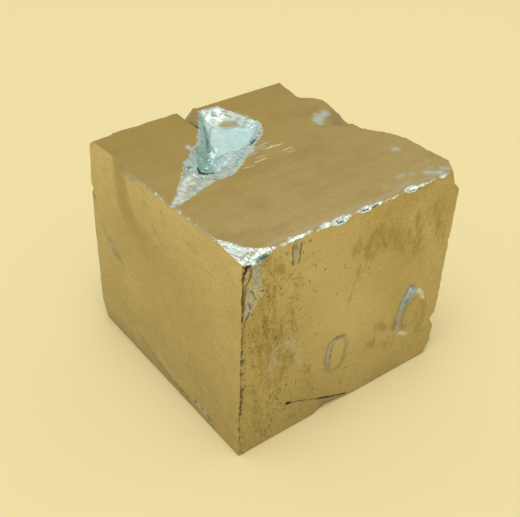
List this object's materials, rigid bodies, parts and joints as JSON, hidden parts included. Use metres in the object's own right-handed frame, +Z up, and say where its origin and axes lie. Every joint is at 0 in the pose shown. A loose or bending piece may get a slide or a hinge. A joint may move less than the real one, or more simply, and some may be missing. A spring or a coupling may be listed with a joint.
{
  "type": "pyrite cube specimen",
  "caption": "Near-cubic natural pyrite crystal with a fresh break across its top, chipped edges and a flat foot to stand on.",
  "frame": {"origin": "on the crystal's flat foot, under the middle of the block", "axes": "+Z up out of the foot; +X along the front face away from the nearest upright edge; +Y along the left face away from it"},
  "size_m": [0.0424, 0.0427, 0.036],
  "materials": {
    "pyrite": "satin brass-yellow natural metal sulphide, silvery on the fresh breaks"
  },
  "bodies": {
    "root": {"pyrite_cube": "pyrite"}
  },
  "joints": []
}
